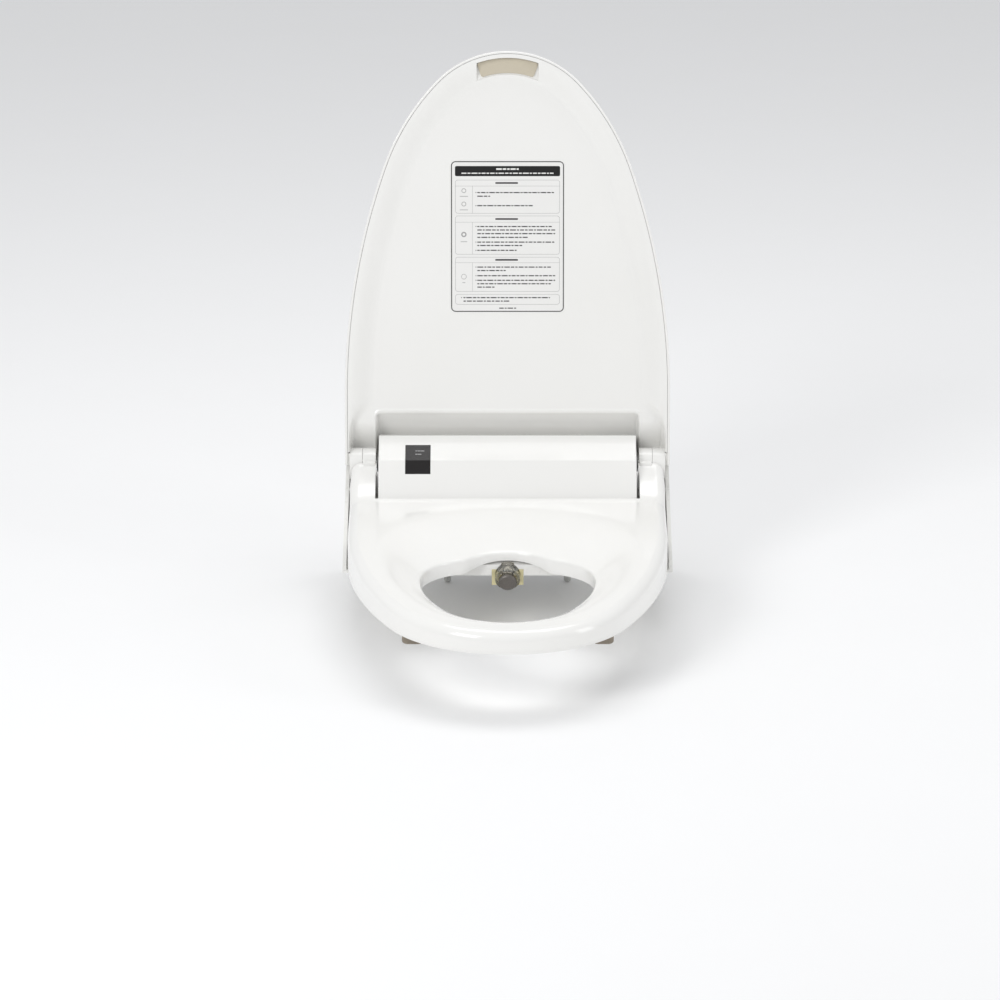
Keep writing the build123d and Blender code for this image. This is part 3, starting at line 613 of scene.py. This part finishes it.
LINING_TAIL = -0.009
DISH_LEVEL = -0.008
RECESS_REAR = -0.062
RECESS_HALF = 0.153
RECESS_CORNER = 0.0075
RECESS_LINE = ((-0.062, -0.008), (-0.060, -0.0068), (-0.056, -0.0015), (-0.050, 0.0055), (-0.044, 0.0115),
               (-0.036, 0.0180), (-0.026, 0.0240), (-0.016, 0.0280), (-0.009, 0.0300))
BEAD_HEIGHT = 0.0009
GRIP_FLOOR = -0.0082
GRIP_HALF = 0.0356
GRIP_FROM_Y = -0.44
# distances in from the outline at which the lining has a row, closest where it bends
INSETS = (0.0032, 0.0036, 0.0045, 0.0052, 0.006, 0.007, 0.0078, 0.0082, 0.0086, 0.0105, 0.013, 0.016,
          0.019, 0.022, 0.025, 0.0267, 0.0271, 0.0275, 0.0295, 0.0308, 0.0318, 0.0327, 0.0335)
# lines in mm across the middle, closest round the recess's walls and bead
CUTS_X = (0, 30, 60, 90, 115, 130, 138, 142, 144.5, 146.5, 148, 149.3, 150.2, 151, 151.8, 152.5, 153.1, 153.7, 154.2)
CUTS_Y = (*range(-440, -80, 24), -74, -69, -66.5, -65.4, -64.6, -63.8, -63.2, -62.6, -62, -61.2, -60.4, -59.6, -58.8,
          -57.6, -56, -54, -51, -48, -45, -42, -38, -34, -30, -26, -22, -18, -15, -12)


def lobe(y):
    """The raised side of the lining, which climbs beside the recess."""
    return DISH_LEVEL + 0.022 * ease((y + 0.052) / 0.038)


def lining(x, y, inset):
    """The lining's level at a point that lies this far in from the lid's outline."""
    spread = 0.0285 - 0.0235 * ease((y + 0.078) / 0.036)
    level = LID_RIM + 0.009 * ease((inset - 0.0055) / spread)
    level += (lobe(y) - DISH_LEVEL) * ease((inset - 0.0040) / 0.004)
    rear, side = y - RECESS_REAR, RECESS_HALF - abs(x)
    depth = min(rear, side)
    if rear < RECESS_CORNER and side < RECESS_CORNER:
        depth = RECESS_CORNER - math.hypot(RECESS_CORNER - rear, RECESS_CORNER - side)
    if inset > 0.028:
        level += (across(RECESS_LINE, y) - level) * ease(depth / 0.0035)
        level -= BEAD_HEIGHT * math.exp(-(((depth + 0.0012) / 0.0013) ** 2)) * ease((-0.012 - y) / 0.006)
    if y < GRIP_FROM_Y:
        inside = ease((inset - 0.0078) / 0.0008) * ease((0.0275 - inset) / 0.0008)
        level += (GRIP_FLOOR - level) * inside * ease((GRIP_HALF - abs(x)) / 0.001)
    return level


bm = bmesh.new()
rows = [row(bm, lambda: lid_line(inset, inset, LINING_TAIL)) for inset in INSETS]
for a, b in zip(rows, rows[1:]):
    bmesh.ops.bridge_loops(bm, edges=a + b)
run_on(bm, max({v for e in rows[-1] for v in e.verts}, key=lambda v: v.co.y), [(0, LINING_TAIL)])
mirror_half(bm)
# a vertex's height holds its distance in from the outline until the middle is filled and cut
ring = [e for e in at_level(bm.edges, INSETS[-1], 1e-5) if len(e.link_faces) < 2]
bmesh.ops.edgeloop_fill(bm, edges=ring)
for x in CUTS_X:
    for side in {-x, x}:
        cut(bm, at_level(bm.faces, INSETS[-1], 1e-5), (side / 1000, 0, 0), (1, 0, 0))
for y in CUTS_Y:
    cut(bm, at_level(bm.faces, INSETS[-1], 1e-5), (0, y / 1000, 0), (0, 1, 0))
for x in (-0.0356, -0.0351, -0.0346, 0.0346, 0.0351, 0.0356):
    cut(bm, [f for f in bm.faces if f.calc_center_median().y < -0.43], (x, 0, 0), (1, 0, 0))
for v in bm.verts:
    v.co.z = lining(v.co.x, v.co.y, v.co.z)
middles = {f: f.calc_center_median() for f in bm.faces}
beyond = [f for f, m in middles.items() if m.y > -0.0155 and abs(m.x) > 0.1538]
bmesh.ops.delete(bm, geom=beyond, context="FACES")
bmesh.ops.transform(bm, matrix=raise_lid, verts=bm.verts)
moulding(bm, "lid_lining", "lid", shell_white, "lid_inner_panel",
         facing=(raise_lid @ Vector((0, -0.24, -0.008)), (0, -1, 0)), wall=0.0022, edge=0.0006)

# ---------------------------------------------------------------- finger grip and care label
# A beige elastomer pad fills the curved recess near the lid's tip. Below it sits a printed
# vinyl label: a thin black frame, a black heading bar and ruled boxes, all of it generic marks.

GRIP_CENTRE = (0, -0.365, 0)
GRIP_SWEEP = math.radians(39.4)
GRIP_SECTION = ((0.0884, -0.0080), (0.1056, -0.0080), (0.1056, -0.0098), (0.0884, -0.0100))


def at_grip_end(e):
    """Whether an edge stands upright at one end of the grip."""
    a, b = (v.co for v in e.verts)
    bearing = abs(math.atan2(a.x, GRIP_CENTRE[1] - a.y))
    return abs(a.x - b.x) < 1e-7 and abs(a.y - b.y) < 1e-7 and bearing > GRIP_SWEEP / 2 - 1e-4


bm = bmesh.new()
bm.faces.new([bm.verts.new((0, GRIP_CENTRE[1] - r, n)) for r, n in GRIP_SECTION])
bmesh.ops.rotate(bm, verts=bm.verts, cent=GRIP_CENTRE, matrix=Matrix.Rotation(-GRIP_SWEEP / 2, 3, "Z"))
section = bm.verts[:] + bm.edges[:] + bm.faces[:]
bmesh.ops.spin(bm, geom=section, cent=GRIP_CENTRE, axis=(0, 0, 1), angle=GRIP_SWEEP, steps=30)
uprights = [e for e in bm.edges if at_grip_end(e)]
bmesh.ops.bevel(bm, geom=uprights, offset=0.004, affect="EDGES", segments=5, profile=0.5, material=-1)
bmesh.ops.transform(bm, matrix=raise_lid, verts=bm.verts)
grip_beige = plastic("grip_beige", (0.60, 0.545, 0.44), 0.55, drift=0.12, skin=0.12, grain=1400)
moulding(bm, "lid_grip", "lid", grip_beige, "lid_grip_pad", edge=0.0007)

LABEL_Y = -0.265
LABEL_FACE = -0.0083


def printed(name, shapes, material, lift, thickness=0.00004):
    """A thin layer of ink or vinyl, made of rounded rectangles (left, right, low, high, corner, line).

    They are in mm from the label's middle, and a rectangle whose line is 0 is filled."""
    bm = bmesh.new()
    for left, right, low, high, corner, line in shapes:
        start = set(bm.verts)
        middle = Matrix.Translation(((left + right) / 2000, (low + high) / 2000, 0))
        size = Matrix.Diagonal(((right - left) / 2000, (high - low) / 2000, 1, 1))
        bmesh.ops.create_grid(bm, x_segments=1, y_segments=1, size=1, matrix=middle @ size)
        made = [v for v in bm.verts if v not in start]
        if corner:
            bmesh.ops.bevel(bm, geom=made, offset=corner / 1000, affect="VERTICES", segments=5,
                            profile=0.5, material=-1)
        faces = [f for f in bm.faces if not start.intersection(f.verts)]
        if line:
            bmesh.ops.inset_region(bm, faces=faces, thickness=line / 1000, use_even_offset=True,
                                   use_boundary=True)
            bmesh.ops.delete(bm, geom=faces, context="FACES")
            faces = [f for f in bm.faces if not start.intersection(f.verts)]
        raised = [g for g in bmesh.ops.extrude_face_region(bm, geom=faces)["geom"] if isinstance(g, bmesh.types.BMVert)]
        bmesh.ops.translate(bm, verts=raised, vec=(0, 0, thickness))
    # up on the label runs to the lid's tip, and its front faces the sitter's side of the lid
    turned = Matrix.Translation((0, LABEL_Y, LABEL_FACE - lift)) @ Matrix.Diagonal((1, -1, -1, 1))
    bmesh.ops.transform(bm, matrix=turned, verts=bm.verts)
    bmesh.ops.transform(bm, matrix=raise_lid, verts=bm.verts)
    return moulding(bm, name, "lid", material, None)


vinyl = plastic("label_vinyl", (0.84, 0.835, 0.82), 0.3, drift=0.03, skin=0.02)
ink_black = plastic("label_ink_black", (0.022, 0.022, 0.024), 0.35, drift=0.3)
ink_grey = plastic("label_ink_grey", (0.38, 0.38, 0.38), 0.4, drift=0.1)
ink_soft = plastic("label_ink_text", (0.055, 0.055, 0.06), 0.5, drift=0.2)
for ink in (ink_black, ink_soft):
    ink.node_tree.nodes["Principled BSDF"].inputs["Specular IOR Level"].default_value = 0.2
backing = printed("label_backing", [(-65.6, 65.6, -87.6, 87.6, 5.2, 0)], vinyl, -0.0003, 0.0003)
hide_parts("lid_label")
WORDS = (3.1, 5.2, 2.2, 6.4, 4.1, 2.7, 5.8, 3.5, 7.0, 2.4, 4.6)


def line_of_words(left, right, level, height, first):
    """Short bars in place of words, side by side."""
    bars, x, k = [], left, first
    while x < right - 1.2:
        end = min(x + WORDS[k % len(WORDS)], right)
        bars.append((x, end, level - height / 2, level + height / 2, 0.25, 0))
        x, k = end + 1.1, k + 1
    return bars


# the ruled boxes, as (low, high, heading line), then the rings and captions of the icons
boxes = ((26.8, 65.5, 58.4), (-20.6, 24.1, 16.7), (-63.6, -23.6, -30.1))
printed("label_frame", [(-65, 65, -87, 87, 5, 1.05), (-60.5, 60.5, 69.8, 81.5, 1.8, 0)], ink_black, 0)
rules = [(-60.2, 60.2, low, high, 3, 0.35) for low, high, _ in boxes] + [(-60.2, 60.2, -78.6, -66.6, 3, 0.35)]
rules += [(-60, 60, head - 0.15, head + 0.15, 0, 0) for _, _, head in boxes]
rules += [(-40.5, -40.2, low, head, 0, 0) for low, _, head in boxes]
rules += [(-53, -47.6, 50.4, 55.8, 2.69, 0.7), (-53, -47.6, 35, 40.4, 2.69, 0.7),
          (-53.4, -47.2, -0.6, 5.6, 3.09, 1.5), (-53.4, -47.2, -49.4, -43.2, 3.09, 0.5)]
rules += [(-55, -45.5, 46.2, 46.9, 0, 0), (-55, -45.5, 30.6, 31.3, 0, 0),
          (-54, -46.4, -6.2, -5.5, 0, 0), (-52, -48.6, -53.6, -52.9, 0, 0)]
printed("label_rules", rules, ink_grey, 0)
middles = [head + (high - head) / 2 for _, high, head in boxes]
text = [(-14, 12, middle - 0.95, middle + 0.95, 0.4, 0) for middle in middles]
# each line of marks, as (level, whether it runs on from the line above, right end)
LINES = ((50.9, False, 55), (46.7, True, -20), (35.8, False, 29),
         (11.7, False, 51), (7.7, True, 55), (3.5, True, 55), (-0.8, True, 25),
         (-6.3, False, 54), (-10.2, True, 19), (-15.8, False, 12),
         (-35.2, False, 50), (-39.2, True, -2), (-45.2, False, 55),
         (-50.5, False, 55), (-54.5, True, 50), (-58.4, True, -15))
for k, (level, runs_on, right) in enumerate(LINES):
    if not runs_on:
        text.append((-36.9, -35.9, level - 0.5, level + 0.5, 0.3, 0))
    text += line_of_words(-34.8, right, level, 1.25, k * 3)
text.append((-53.6, -52.6, -71.1, -70.1, 0.3, 0))
text += line_of_words(-50.8, 49, -70.6, 1.25, 2)
text += line_of_words(-50.8, 4, -74.6, 1.25, 5)
text += line_of_words(-9.5, 10, -82.8, 1.2, 1)
printed("label_text", text, ink_soft, 0)
heading = line_of_words(-13, 13, 78, 1.9, 3) + line_of_words(-53, 53, 73.2, 1.3, 6)
printed("label_heading", heading, vinyl, 0.00004)

# ---------------------------------------------------------------- floor, lights and camera
# The seat stands over a plain pale sweep under large soft studio lights.

scene = bpy.context.scene
scene.view_settings.view_transform = "Standard"
scene.world = bpy.data.worlds.new("studio_air")
scene.world.use_nodes = True
air = scene.world.node_tree.nodes["Background"]
air.inputs["Color"].default_value = (0.97, 0.98, 1, 1)
air.inputs["Strength"].default_value = 0.66

bm = bmesh.new()
bmesh.ops.create_grid(bm, x_segments=1, y_segments=1, size=9)
bmesh.ops.translate(bm, verts=bm.verts, vec=(0, 0, cad_box[0][2] - 0.001))
floor_mesh = bpy.data.meshes.new("studio_floor")
bm.to_mesh(floor_mesh)
bm.free()
studio_floor = bpy.data.objects.new("studio_floor", floor_mesh)
scene.collection.objects.link(studio_floor)
floor_mesh.materials.append(plastic("floor_paper", (0.92, 0.92, 0.92), 0.9, drift=0.01))


def soft_box(name, place, aim, width, height, power):
    """A rectangular studio light that faces a point on the seat."""
    lamp = bpy.data.lights.new(name, "AREA")
    lamp.shape = "RECTANGLE"
    lamp.size = width
    lamp.size_y = height
    lamp.energy = power
    stand = bpy.data.objects.new(name, lamp)
    stand.location = place
    stand.rotation_euler = (Vector(aim) - Vector(place)).to_track_quat("-Z", "Y").to_euler()
    scene.collection.objects.link(stand)


soft_box("overhead", (0.1, 0.4, 2.6), (0, -0.15, 0.1), 2.0, 1.0, 20)
soft_box("key_left", (-1.7, -2.3, 1.9), (0, -0.1, 0.25), 1.1, 1.1, 30)
soft_box("fill_right", (2.6, -1.2, 0.9), (0, -0.1, 0.2), 0.7, 1.6, 10)

ELEVATION = math.radians(18)
DISTANCE = 6.0
AIM = (-0.00864, -0.060, 0.057)
lens = bpy.data.cameras.new("front_view")
lens.lens = 187.5
lens.sensor_width = 36
camera = bpy.data.objects.new("front_view", lens)
camera.location = (AIM[0], AIM[1] - DISTANCE * math.cos(ELEVATION), AIM[2] + DISTANCE * math.sin(ELEVATION))
camera.rotation_euler = (math.pi / 2 - ELEVATION, 0, 0)
scene.collection.objects.link(camera)
scene.camera = camera
